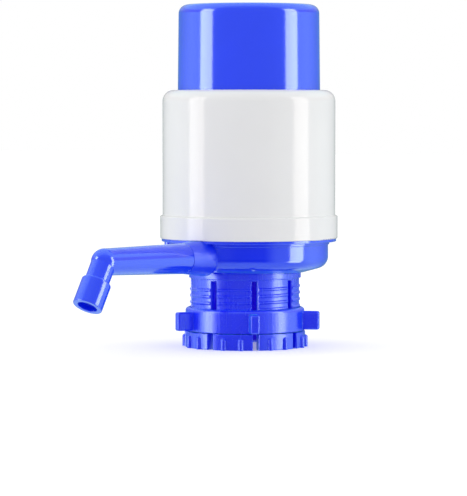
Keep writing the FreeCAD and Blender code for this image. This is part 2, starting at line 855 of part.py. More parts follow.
def valve_ports(body, x, level, thick):
    """Stem hole and air ports through a plate."""
    stem = new_sketch(body, "stem_ring", "XY_Plane", lift=level)
    circle(stem, x, 0, S.stem_radius + S.stem_clearance)
    feature(body, "Pocket", "stem_hole", stem, True, Length=thick)
    ports = new_sketch(body, "port_rings", "XY_Plane", lift=level)
    for number in range(PORTS):
        angle = 2 * math.pi * number / PORTS
        circle(ports, x + S.port_circle * math.cos(angle), S.port_circle * math.sin(angle), S.port_radius)
    feature(body, "Pocket", "ports", ports, True, Length=thick)


def make_valve_deck():
    body = new_body("valve_deck")
    turned(body, "disc", [
        (0, ledge),
        (deck_radius, ledge),
        (deck_radius, deck_top),
        (seat_radius, deck_top),
        (seat_radius, deck_top + S.seat_height, S.edge),
        (seat_radius - S.seat_wall, deck_top + S.seat_height),
        (seat_radius - S.seat_wall, deck_top),
        (0, deck_top),
    ])
    valve_ports(body, valve_offset, deck_top, S.deck_thick)
    holes(body, "screw", S.screw_hole, screw_circle, deck_top, S.deck_thick, SCREWS, QUARTER)
    return body


def make_clamp_ring():
    body = new_body("bellows_clamp_ring")
    turned(body, "ring", [
        (clamp_inner, bellows_foot),
        (deck_radius, bellows_foot),
        (deck_radius, clamp_top, S.soft_edge),
        (clamp_inner, clamp_top, S.soft_edge),
    ])
    holes(body, "screw", S.screw_hole, screw_circle, clamp_top, S.clamp_thick, SCREWS, QUARTER)
    return body


def screw_set(name, circle_radius, head_under, length, upward=False):
    """Pan-head self-tapping screws on a circle, as separate solids of one node."""
    screws = []
    side, across = S.screw_head / 2, S.cross_width / 2
    cross_floor = S.screw_head_thick - S.cross_depth
    for number in range(SCREWS):
        angle = QUARTER + 2 * math.pi * number / SCREWS
        label = f"{name}_{number + 1}"
        head = cylinder(f"{label}_head", S.screw_head, S.screw_head_thick)
        shank = cylinder(f"{label}_shank", S.screw_radius, length - S.screw_point)
        place(shank, z=S.screw_point - length)
        tip = place(cone(f"{label}_tip", S.screw_tip, S.screw_radius, S.screw_point), z=-length)
        bars = []
        for turn, x, y in ((0, -side, -across), (90, across, -side)):
            bar = doc.addObject("Part::Box", f"{label}_bar_{turn}")
            bind(bar, "Length", 2 * side)
            bind(bar, "Width", S.cross_width)
            bind(bar, "Height", S.cross_depth + S.overrun)
            bars.append(place(bar, x=x, y=y, z=cross_floor, axis=(0, 0, 1), angle=turn))
        solid = united(f"{label}_solid", [head, shank, tip])
        screw = cut_from(label, solid, united(f"{label}_cross", bars))
        x, y = circle_radius * math.cos(angle), circle_radius * math.sin(angle)
        if upward:
            place(screw, x=x, y=y, z=head_under, axis=(1, 0, 0), angle=180)
        else:
            place(screw, x=x, y=y, z=head_under)
        screws.append(screw)
    group = doc.addObject("Part::Compound", name)
    group.Links = screws
    group.Label = name
    return group


# ---------------------------------------------------------------- bellows and spring


def make_bellows():
    """Folded bag, clamped by its foot on the deck and by its top between the hub and the plate."""
    body = new_body("bellows")
    steps = 2 * FOLDS - 1
    rise = (plate_level - bellows_foot) / steps
    outer, inner = [], []
    for step in range(1, steps):
        radius = S.bellows_root if step % 2 else bellows_crest
        level = bellows_foot + rise * step
        outer.append((radius, level, S.fold_round))
        inner.append((radius - S.bellows_wall, level))
    turned(body, "bag", [
        (bellows_crest - S.bellows_wall, deck_top),
        (deck_radius - S.plate_clearance, deck_top),
        (deck_radius - S.plate_clearance, bellows_foot),
        (bellows_crest, bellows_foot),
        *outer,
        (S.bellows_root, plate_level),
        (S.bellows_root, hub_level, S.soft_edge),
        (S.bellows_opening, hub_level),
        (S.bellows_opening, plate_level),
        (S.bellows_root - S.bellows_wall, plate_level),
        *reversed(inner),
        (bellows_crest - S.bellows_wall, bellows_foot),
    ])
    holes(body, "foot_hole", S.screw_hole, screw_circle, bellows_foot, S.bellows_flange, SCREWS, QUARTER)
    holes(body, "top_hole", S.screw_hole, plate_screw_circle, hub_level, S.bellows_flange, SCREWS, QUARTER)
    return body


def make_top_plate():
    body = new_body("bellows_top_plate")
    turned(body, "disc", [
        (0, plate_under),
        (seat_radius - S.seat_wall, plate_under),
        (seat_radius - S.seat_wall, plate_under - S.seat_height),
        (seat_radius, plate_under - S.seat_height, S.edge),
        (seat_radius, plate_under),
        (S.bellows_root - S.bellows_wall - S.plate_clearance, plate_under),
        (S.bellows_root - S.bellows_wall - S.plate_clearance, plate_level),
        (0, plate_level),
    ])
    valve_ports(body, 0, plate_level, S.plate_thick)
    holes(body, "screw", S.screw_hole, plate_screw_circle, plate_level, S.plate_thick, SCREWS, QUARTER)
    return body


def make_return_spring():
    body = new_body("return_spring")
    end = S.wire_radius + S.coil_gap
    sketch = circle(new_sketch(body, "wire"), S.spring_radius, deck_top + end, S.wire_radius)
    feature(body, "AdditiveHelix", "coil", sketch, ReferenceAxis=(sketch, ["V_Axis"]), Mode=0,
            Pitch=S.spring_pitch, Height=plate_under - deck_top - 2 * end, LeftHanded=False)
    return body


# ---------------------------------------------------------------- covers


def make_housing():
    """White shell that guides the cap and stands on the base's rim."""
    body = new_body("housing")
    inner_round = S.housing_round - S.housing_wall
    turned(body, "shell", [
        (band_radius, S.rim_level, S.soft_edge),
        (band_radius, S.band_top, S.edge),
        (S.housing_radius, S.band_top + S.band_bevel),
        (S.housing_radius, S.housing_top, S.housing_round),
        (opening_radius, S.housing_top, S.soft_edge),
        (opening_radius, guide_level),
        (opening_radius + S.guide_wall, guide_level),
        (opening_radius + S.guide_wall, S.housing_top - S.housing_wall),
        (housing_inner, S.housing_top - S.housing_wall, inner_round / 2),
        (housing_inner, S.rim_level),
    ])
    return body


def make_press_cap():
    """Deep cap with a retaining flange, and a hub that drives the bellows."""
    body = new_body("press_cap")
    flange_top = guide_level - S.stop_gap
    flange_foot = flange_top - S.cap_flange_thick
    turned(body, "shell", [
        (0, S.cap_top),
        (cap_radius, S.cap_top, S.cap_round),
        (cap_foot_radius, flange_top),
        (cap_flange_radius, flange_top, S.edge),
        (cap_flange_radius, flange_foot, S.edge),
        (cap_foot_radius - S.cap_wall, flange_foot),
        (cap_radius - S.cap_wall, roof_level, S.cap_round - S.cap_wall),
        (hub_outer, roof_level),
        (hub_outer, hub_level),
        (hub_inner, hub_level),
        (hub_inner, roof_level),
        (0, roof_level),
    ])
    window = new_sketch(body, "window_outline")
    half = S.window_width / 2
    box_outline(window, -half, half, roof_level - S.window_height, roof_level)
    cut = feature(body, "Pocket", "window", window, True, Length=hub_outer + S.overrun, Reversed=True)
    repeated(body, "windows", [cut], window, "V_Axis", SCREWS)
    pilot = new_sketch(body, "pilot_ring", "XY_Plane", lift=hub_level)
    at = plate_screw_circle * math.cos(QUARTER)
    circle(pilot, at, at, S.screw_pilot)
    bore = feature(body, "Pocket", "pilot", pilot, True, Length=roof_level - hub_level, Reversed=True)
    repeated(body, "pilots", [bore], pilot, "N_Axis", SCREWS)
    return body


# ---------------------------------------------------------------- the document

pieces = [
    make_neck_collet(),
    make_lock_ring(),
    make_neck_gasket(),
    make_base_body(),
    make_deck_seal(),
    make_tube_seal(),
    *make_spout(),
    make_valve_deck(),
    umbrella("outlet_valve", ledge, S.deck_thick, valve_offset),
    make_clamp_ring(),
    screw_set("deck_screws", screw_circle, clamp_top, S.screw_length),
    make_bellows(),
    make_top_plate(),
    umbrella("inlet_valve", plate_under, S.plate_thick),
    screw_set("plate_screws", plate_screw_circle, plate_under, S.plate_screw_length, upward=True),
    make_return_spring(),
    make_housing(),
    make_press_cap(),
]
doc.recompute()

for thing in doc.Objects:
    if "Invalid" in thing.State or "Error" in thing.State:
        raise RuntimeError(f"{thing.Label} failed: {thing.State}")
for piece in pieces:
    if piece.Shape.isNull() or not piece.Shape.isValid():
        raise RuntimeError(f"{piece.Label} has no valid shape")

os.makedirs("parts", exist_ok=True)
for piece in pieces:
    piece.Shape.exportStep(f"parts/{piece.Label}.step")
    box = piece.Shape.BoundBox
    print(f"{piece.Label}: {len(piece.Shape.Solids)} solids, {piece.Shape.Volume:.0f} mm3, "
          f"z {box.ZMin:.1f} to {box.ZMax:.1f}")
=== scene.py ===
"""Looks of a hand pump for a water jug: polished plastic, soft bellows, seals and steel.

Laid out as a Blender add-on and run as a script. Metres, +Z up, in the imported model's own frame.
"""

import json
import math

import bmesh
import bpy
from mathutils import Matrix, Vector


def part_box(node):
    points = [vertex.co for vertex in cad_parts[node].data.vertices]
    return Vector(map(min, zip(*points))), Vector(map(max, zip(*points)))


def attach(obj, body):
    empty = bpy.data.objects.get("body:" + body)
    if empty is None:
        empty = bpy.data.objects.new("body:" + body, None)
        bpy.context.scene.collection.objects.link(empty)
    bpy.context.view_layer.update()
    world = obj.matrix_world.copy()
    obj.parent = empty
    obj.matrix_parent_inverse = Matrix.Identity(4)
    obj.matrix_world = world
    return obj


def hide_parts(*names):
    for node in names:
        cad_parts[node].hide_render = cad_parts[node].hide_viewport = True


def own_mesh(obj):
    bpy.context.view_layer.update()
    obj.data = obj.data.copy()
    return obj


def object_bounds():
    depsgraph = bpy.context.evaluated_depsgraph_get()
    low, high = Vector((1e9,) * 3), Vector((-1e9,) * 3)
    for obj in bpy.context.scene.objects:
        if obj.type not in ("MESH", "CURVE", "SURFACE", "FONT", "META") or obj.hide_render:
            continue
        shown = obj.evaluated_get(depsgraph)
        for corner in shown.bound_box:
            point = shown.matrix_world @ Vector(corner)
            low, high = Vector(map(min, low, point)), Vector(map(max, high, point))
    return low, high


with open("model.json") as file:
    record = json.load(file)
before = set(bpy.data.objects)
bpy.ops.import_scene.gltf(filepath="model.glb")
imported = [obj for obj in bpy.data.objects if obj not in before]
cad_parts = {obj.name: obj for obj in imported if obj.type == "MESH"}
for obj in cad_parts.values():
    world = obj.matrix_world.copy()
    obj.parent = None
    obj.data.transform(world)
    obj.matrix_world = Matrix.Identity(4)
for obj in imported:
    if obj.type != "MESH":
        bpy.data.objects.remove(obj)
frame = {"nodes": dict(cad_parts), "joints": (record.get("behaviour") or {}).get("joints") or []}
CAD_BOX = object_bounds()

bl_info = {
    "name": "Jug pump looks",
    "version": (1, 0, 0),
    "blender": (4, 5, 0),
    "location": "3D View > Sidebar > Jug pump",
    "description": "Finishes, soft parts and studio for a hand pump on a water jug",
    "category": "Object",
}

MM = 0.001

# In pixels: the camera's frame, where the pump's axis and the horizon lie in it, and the lens.
PICTURE_WIDTH = 467
PICTURE_HEIGHT = 496
AXIS_COLUMN = 248.9
HORIZON_ROW = 110.0
FOCAL_PIXELS = 2883.0

# The camera's sensor in millimetres, and its height above the origin.
SENSOR_MM = 36.0
EYE_LEVEL = 97.9 * MM

# Where the camera looks, what is to its right, and up.
AHEAD = Vector((0.809, 0.588, 0.0)).normalized()
RIGHT = Vector((AHEAD.y, -AHEAD.x, 0.0))
UP = Vector((0, 0, 1))

# Half the floor's side, and the light that it adds where the camera sees it.
FLOOR_HALF = 6.0
FLOOR_GLOW = 0.30

# The height that all lamps face, and the soft lights' side, distance and rise out of the level.
LAMP_AIM = 0.10
SOFT_LIGHT_SIDE = 1.6
SOFT_LIGHT_DISTANCE = 1.6
SOFT_LIGHT_RISE = 0.25

# Where the upright axis of the collet and the ring lies along X.
NECK_AXIS = -3.9 * MM

# The height of the rings on the deck and under the top plate that hold the spring's ends.
SEAT_HEIGHT = 3.0 * MM

# The Mix node's sockets for two colours, and its output for the colour between them.
MIX_FIRST, MIX_SECOND, MIX_RESULT = 6, 7, 2


# ---------------------------------------------------------------- shader maths


class Signal:
    """An output socket that is worked with by Python's own operators."""

    def __init__(self, paint, socket):
        self.paint = paint
        self.socket = socket

    def maths(self, operation, *values):
        return self.paint.node("ShaderNodeMath", {"operation": operation}, dict(enumerate(values)))

    def __add__(self, other):
        return self.maths("ADD", self, other)

    def __radd__(self, other):
        return self.maths("ADD", other, self)

    def __sub__(self, other):
        return self.maths("SUBTRACT", self, other)

    def __rsub__(self, other):
        return self.maths("SUBTRACT", other, self)

    def __mul__(self, other):
        return self.maths("MULTIPLY", self, other)

    def __rmul__(self, other):
        return self.maths("MULTIPLY", other, self)

    def magnitude(self):
        return self.maths("ABSOLUTE", self)

    def swing(self, amount):
        """Noise, which lies around a half, as a change to either side of zero."""
        return (self - 0.5) * amount

    def step(self, low, high):
        """Rises smoothly from 0 to 1 between two values of this one."""
        settings = {"interpolation_type": "SMOOTHSTEP"}
        inputs = {"Value": self, "From Min": low, "From Max": high}
        return self.paint.node("ShaderNodeMapRange", settings, inputs)


class Paint:
    """A node tree that is being filled: a material's, or the world's."""

    def __init__(self, owner):
        owner.use_nodes = True
        self.owner = owner
        self.tree = owner.node_tree
        self.tree.nodes.clear()

    def node(self, kind, settings=None, inputs=None, output=0):
        """Adds a node: first its settings, then the values or links of its sockets."""
        made = self.tree.nodes.new(kind)
        for key, value in (settings or {}).items():
            setattr(made, key, value)
        for key, value in (inputs or {}).items():
            if isinstance(value, Signal):
                self.tree.links.new(value.socket, made.inputs[key])
            else:
                made.inputs[key].default_value = value
        return Signal(self, made.outputs[output]) if made.outputs else None

    def vector(self, operation, *values, output=0):
        """Vector maths; a length or a dot product comes out of the output "Value"."""
        settings = {"operation": operation}
        return self.node("ShaderNodeVectorMath", settings, dict(enumerate(values)), output)

    def ray(self, kind):
        """1 for a ray of this kind, and 0 for any other."""
        return self.node("ShaderNodeLightPath", output=f"Is {kind} Ray")

    def spot(self, upright=1.0):
        """Where a point lies on the piece, in metres, its height times a factor."""
        place = self.node("ShaderNodeTexCoord", output="Object")
        return place if upright == 1.0 else self.vector("MULTIPLY", place, (1, 1, upright))

    def noise(self, size, detail, roughness, upright=1.0):
        """Soft noise with lumps about a size across; a low upright draws them out along Z."""
        place = self.spot(upright)
        inputs = {"Vector": place, "Scale": 1 / size, "Detail": detail, "Roughness": roughness}
        return self.node("ShaderNodeTexNoise", {}, inputs, "Fac")

    def seam(self, turn, width, centre):
        """1 on an upright plane through an axis at a place along X, and 0 from a width off it."""
        aim = (-math.sin(turn), math.cos(turn), 0.0)
        offset = self.vector("DOT_PRODUCT", self.spot(), aim, output="Value") - centre * aim[0]
        return 1 - offset.magnitude().step(0, width)

    def core(self, centre, inside, outside):
        """Falls from 1 to 0 between two distances from an upright axis at a place along X."""
        offset = self.vector("SUBTRACT", self.spot(), (centre, 0, 0))
        flat = self.vector("MULTIPLY", offset, (1, 1, 0))
        return 1 - self.vector("LENGTH", flat, output="Value").step(inside, outside)

    def blend(self, share, first, second):
        """A colour between two colours."""
        settings = {"data_type": "RGBA", "blend_type": "MIX"}
        inputs = {"Factor": share, MIX_FIRST: first, MIX_SECOND: second}
        return self.node("ShaderNodeMix", settings, inputs, MIX_RESULT)

    def bump(self, height, distance, strength, normal):
        """The surface's direction with a relief on it."""
        inputs = {"Height": height, "Distance": distance, "Strength": strength, "Normal": normal}
        return self.node("ShaderNodeBump", {}, inputs, "Normal")

    def rounded(self, radius):
        """The surface's direction with its sharp edges broken."""
        return self.node("ShaderNodeBevel", {"samples": 6}, {"Radius": radius}, "Normal")

    def surface(self, **sockets):
        """A Principled surface; socket names have underscores for spaces."""
        inputs = {name.replace("_", " "): value for name, value in sockets.items()}
        return self.node("ShaderNodeBsdfPrincipled", {}, inputs, "BSDF")

    def finish(self, shader):
        """Links the shader to the tree's output, and gives back the material or the world."""
        target = "World" if isinstance(self.owner, bpy.types.World) else "Material"
        self.node(f"ShaderNodeOutput{target}", {}, {"Surface": shader})
        return self.owner


# ---------------------------------------------------------------- finishes


def shade(colour, factor):
    """A colour made darker or lighter, with its alpha."""
    return tuple(min(1.0, channel * factor) for channel in colour[:3]) + (1.0,)


def moulded_plastic(
        name, colour, roughness, peel, specular, coat, *, edge=0.30 * MM, clouding=0.03,
        gloss_tint=(1, 1, 1), bloom=0.0, bloom_tint=(1, 1, 1), dull=None, streaks=0.0, seam=None,
        lit=None):
    """Injection-moulded plastic: faint clouding, a fine orange peel, rubbed spots and broken edges.

    Bloom is a soft tinted light at glancing angles, dull is a place along X past which the polish
    is softer, streaks are the height of the upright flow lines, a seam is the mould's parting line,
    and lit is an inside with a painted glow, emitted in place of daylight through the wall.
    """
    paint = Paint(bpy.data.materials.new(name))
    clouds = paint.noise(38 * MM, detail=3.0, roughness=0.55)
    grain = paint.noise(1.1 * MM, detail=2.0, roughness=0.5)
    drag = paint.noise(2.2 * MM, detail=3.0, roughness=0.6, upright=0.06)
    specks = paint.noise(0.45 * MM, detail=1.0, roughness=0.4).step(0.68, 0.80)
    darker, lighter = shade(colour, 1 - clouding), shade(colour, 1 + clouding)
    tone = paint.blend(clouds.step(0.3, 0.7), darker, lighter)
    tone = paint.blend(specks * 0.10, tone, shade(colour, 0.80))
    rub = roughness + clouds.swing(0.05) + drag.swing(0.035) + specks * 0.10
    if dull:
        along = paint.node("ShaderNodeSeparateXYZ", {}, {0: paint.spot()}, "X")
        rub = rub + (-1 * along).step(dull["start"], dull["full"]) * dull["more"]
    waves = grain * 0.8 + drag * 0.2
    normal = paint.bump(waves, peel, strength=0.35, normal=paint.rounded(edge))
    if streaks:
        flow = paint.noise(1.6 * MM, detail=2.0, roughness=0.55, upright=0.03)
        normal = paint.bump(flow, streaks, strength=1.0, normal=normal)
        tone = paint.blend(flow.step(0.35, 0.75) * 0.5, tone, shade(colour, 1.12))
    if seam:
        line = paint.seam(seam["turn"], seam["width"], seam["centre"])
        normal = paint.bump(line, seam["height"], strength=1.0, normal=normal)
        tone = paint.blend(line * 0.35, tone, shade(colour, 0.70))
    # Painted glow: the inside emits a colour in place of daylight through the wall; it is no lamp.
    glow = {}
    if lit:
        share = paint.core(lit["centre"], lit["inside"], lit["outside"])
        painted_glow = paint.blend(share, (0, 0, 0, 1), (*lit["colour"], 1))
        glow = {"Emission_Color": painted_glow, "Emission_Strength": 1.0}
    return paint.finish(paint.surface(
        Base_Color=tone, Roughness=rub, Normal=normal, Specular_IOR_Level=specular,
        Specular_Tint=(*gloss_tint, 1), Coat_Weight=coat, Coat_Roughness=roughness / 2,
        Sheen_Weight=bloom, Sheen_Roughness=0.4, Sheen_Tint=(*bloom_tint, 1), **glow))


def soft_rubber(name, colour, roughness):
    """Moulded rubber: dull, faintly bloomed, with a fine skin."""
    paint = Paint(bpy.data.materials.new(name))
    haze = paint.noise(9 * MM, detail=4.0, roughness=0.6)
    skin = paint.noise(0.5 * MM, detail=3.0, roughness=0.6)
    tone = paint.blend(haze.step(0.35, 0.75), shade(colour, 0.90), shade(colour, 1.10))
    rub = roughness + haze.swing(0.15)
    normal = paint.bump(skin, 0.06 * MM, strength=0.5, normal=paint.rounded(0.25 * MM))
    return paint.finish(paint.surface(
        Base_Color=tone, Roughness=rub, Normal=normal, Specular_IOR_Level=0.35,
        Subsurface_Weight=0.15, Subsurface_Scale=0.002))


def worked_steel(name, colour, roughness, upright=1.0):
    """Plated or drawn steel: fine lines, drawn out along Z by a low upright, and dull patches."""
    paint = Paint(bpy.data.materials.new(name))
    lines = paint.noise(0.3 * MM, detail=3.0, roughness=0.6, upright=upright)
    patches = paint.noise(3 * MM, detail=3.0, roughness=0.6)
    tone = paint.blend(patches.step(0.3, 0.8), shade(colour, 0.85), shade(colour, 1.10))
    rub = roughness + lines.swing(0.2) + patches.swing(0.1)
    normal = paint.bump(lines, 0.02 * MM, strength=0.4, normal=paint.rounded(0.12 * MM))
    return paint.finish(paint.surface(Base_Color=tone, Metallic=1.0, Roughness=rub, Normal=normal))


def shared_material(name, make):
    """The material of this name, which is made the first time."""
    return bpy.data.materials.get(name) or make()


def polished_blue(name="polished_blue", dull=None):
    """The polished plastic of the cap, the base and the spout."""
    colours, finish = bpy.context.scene.pump_colours, bpy.context.scene.pump_finish
    return shared_material(name, lambda: moulded_plastic(
        name, colours.blue, finish.gloss, finish.peel, specular=0.75, coat=0.35,
        gloss_tint=colours.gloss_tint, bloom=finish.bloom, bloom_tint=colours.bloom, dull=dull))


def satin_blue(name, **marks):
    """The satin plastic of the collet and the ring, with the marks that each of them has."""
    colours, finish = bpy.context.scene.pump_colours, bpy.context.scene.pump_finish
    # The collet and the ring take the darker copy of the blue, which is painted shade.
    return moulded_plastic(
        name, colours.shaded_blue, finish.satin, finish.peel, specular=0.85, coat=0.20,
        edge=0.50 * MM, gloss_tint=colours.gloss_tint, bloom=finish.bloom,
        bloom_tint=colours.bloom, **marks)


def silicone():
    """The rubber of the gasket, the O-rings and the valves."""
    colours = bpy.context.scene.pump_colours
    return shared_material("silicone", lambda: soft_rubber("silicone", colours.seal, 0.45))


def dress(node, material):
    """Gives a CAD node its finish."""
    slots = frame["nodes"][node].data.materials
    slots.clear()
    slots.append(material)


# ---------------------------------------------------------------- sizes and colours


def colour_property(name, description, default):
    return bpy.props.FloatVectorProperty(
        name=name, description=description, subtype="COLOR", size=3, min=0, max=1, default=default)


def length_property(name, description, default):
    return bpy.props.FloatProperty(
        name=name, description=description, subtype="DISTANCE", unit="LENGTH", min=0,
        default=default, precision=4)


def share_property(name, description, default):
    return bpy.props.FloatProperty(
        name=name, description=description, subtype="FACTOR", min=0, max=1, default=default)


def level_property(name, description, default):
    return bpy.props.FloatProperty(name=name, description=description, min=0, default=default)


class PumpColours(bpy.types.PropertyGroup):
    """Colours of the pump's plastics, rubbers and metals."""

    blue: colour_property("Blue", "Plastic of the cap, base and spout", (0.003, 0.020, 0.93))
    # Painted shade: a darker copy of the blue, given to the collet and the ring for the shade they
    # show.
    shaded_blue: colour_property("Deep blue", "Plastic of the collet and ring", (0.004, 0.010, 0.93))
    gloss_tint: colour_property(
        "Gloss tint", "Tint of what the blue plastic mirrors", (0.78, 1.0, 1.0))
    bloom: colour_property(
        "Blue bloom", "Tint of the blue plastic at glancing angles", (0.08, 0.64, 1.0))
    # Painted glow, emitted by the collet's inside in place of daylight through its wall.
    painted_glow: colour_property(
        "Light through", "Daylight that comes through the collet's wall", (0.006, 0.0, 0.14))
    white: colour_property("White", "Plastic of the housing", (0.82, 0.82, 0.825))
    inner: colour_property(
        "Inner plastic", "Plastic of the deck, clamp ring and top plate", (0.70, 0.71, 0.73))
    bellows: colour_property("Bellows", "Milky rubber of the bellows", (0.58, 0.63, 0.72))
    seal: colour_property("Seals", "Silicone of the gasket, O-rings and valves", (0.42, 0.44, 0.47))
    screw: colour_property("Screws", "Plated steel of the screws", (0.56, 0.56, 0.58))
    wire: colour_property("Wire", "Drawn steel of the spring", (0.50, 0.50, 0.52))


class PumpFinish(bpy.types.PropertyGroup):
    """How polished the plastics are."""

    gloss: share_property("Polished roughness", "Roughness of the polished shells", 0.13)
    satin: share_property("Satin roughness", "Roughness of the collet and ring", 0.27)
    peel: length_property("Orange peel", "Height of the plastic's fine waves", 0.02 * MM)
    bloom: share_property("Bloom", "Strength of the blue plastic's bloom", 0.35)
    white_gloss: share_property("White specular", "How strongly the housing mirrors", 0.25)


class PumpSoftParts(bpy.types.PropertyGroup):
    """Sizes of the bellows and its spring."""

    folds: bpy.props.IntProperty(name="Folds", description="Folds of the bellows", min=2, default=9)
    crest: length_property("Crest radius", "Outside radius of the folds", 34.3 * MM)
    root: length_property("Root radius", "Outside radius between the folds", 27.2 * MM)
    wall: length_property("Wall", "Thickness of the bellows", 1.2 * MM)
    flange: length_property("Flange", "Thickness of the two flanges", 1.6 * MM)
    spring_radius: length_property("Spring radius", "Middle radius of the coil", 15.0 * MM)
    wire_radius: length_property("Wire radius", "Radius of the spring's wire", 0.9 * MM)
    spring_turns: bpy.props.FloatProperty(
        name="Turns", description="Open turns of the spring", min=1, default=8.0)


class PumpStudio(bpy.types.PropertyGroup):
    """Camera, lamps and surroundings."""

    distance: length_property("Camera distance", "From the camera to the pump's axis", 1.68)
    strip_angle: bpy.props.FloatProperty(
        name="Strip angle", description="Turn of each strip light from the camera's side",
        subtype="ANGLE", unit="ROTATION", default=math.radians(72.5))
    strip_distance: length_property("Strip distance", "From the strips to the axis", 1.2)
    strip_width: length_property("Strip width", "Width of each strip light", 0.50)
    strip_height: length_property("Strip height", "Height of each strip light", 1.5)
    strip_glow: level_property("Strip glow", "Radiance of the strips, seen in the gloss", 6.5)
    soft_glow: level_property("Soft glow", "Radiance of the soft lights on dull surfaces", 0.90)
    ambient: level_property("Ambient", "Light of the surroundings on dull surfaces", 0.93)
    gloss_colour: colour_property(
        "Gloss colour", "Colour of the surroundings in the gloss", (0.72, 1.0, 1.0))
    gloss_side: level_property("Gloss, sides", "Mirrored from the sides", 1.85)
    gloss_high: level_property("Gloss, high sides", "Mirrored from above the sides", 0.90)
    gloss_front: level_property("Gloss, front", "Mirrored from the camera's side", 0.82)
    gloss_low: level_property("Gloss, low front", "Mirrored from low on the camera's side", 0.06)
    gloss_low_right: level_property("Gloss, low right", "Mirrored from low on the right", 1.1)
    gloss_above: level_property("Gloss, above", "Mirrored from above the camera's side", 1.15)
    gloss_behind: level_property("Gloss, behind", "Mirrored from behind the pump", 0.30)
    gloss_below: level_property("Gloss, below", "Mirrored from straight below", 1.3)


# ---------------------------------------------------------------- mesh helpers


def object_from(name, vertices, faces):
    """A smooth-shaded object, its faces all turned outwards."""
    mesh = bpy.data.meshes.new(name)
    mesh.from_pydata(vertices, [], faces)
    mesh.validate()
    made = bpy.data.objects.new(name, mesh)
    bpy.context.scene.collection.objects.link(made)
    tidy = bmesh.new()
    tidy.from_mesh(mesh)
    bmesh.ops.recalc_face_normals(tidy, faces=tidy.faces)
    tidy.to_mesh(mesh)
    tidy.free()
    for polygon in mesh.polygons:
        polygon.use_smooth = True
    return made


def lathed(name, outline, segments):
    """A closed outline of (radius, height) points, turned about Z."""
    vertices, faces = [], []
    count = len(outline)
    for step in range(segments):
        angle = 2 * math.pi * step / segments
        for radius, height in outline:
            vertices.append((radius * math.cos(angle), radius * math.sin(angle), height))
    for step in range(segments):
        here, there = step * count, (step + 1) % segments * count
        for corner in range(count):
            following = (corner + 1) % count
            faces.append((here + corner, there + corner, there + following, here + following))
    return object_from(name, vertices, faces)


def tube(name, path, radius, sides):
    """A round wire along a path, closed at both ends, kept upright by the Z axis."""
    vertices, faces = [], []
    for number, point in enumerate(path):
        before = path[max(number - 1, 0)]
        after = path[min(number + 1, len(path) - 1)]
        along = (after - before).normalized()
        outward = along.cross(UP).normalized()
        upward = outward.cross(along)
        for side in range(sides):
            angle = 2 * math.pi * side / sides
            vertices.append(point + (outward * math.cos(angle) + upward * math.sin(angle)) * radius)
    for ring in range(len(path) - 1):
        low, high = ring * sides, (ring + 1) * sides
        for side in range(sides):
            following = (side + 1) % sides
            faces.append((low + side, low + following, high + following, high + side))
    faces.append(tuple(range(sides)))
    faces.append(tuple(range((len(path) - 1) * sides, len(path) * sides)))
    return object_from(name, vertices, faces)


def press_travel():
    """How far the cap goes down, in metres."""
    return next(joint for joint in frame["joints"] if joint["name"] == "press")["range_m"][1]


# ---------------------------------------------------------------- pieces


class PumpOperator(bpy.types.Operator):
    """Common ground of the pump's operators."""

    bl_options = {"REGISTER", "UNDO"}


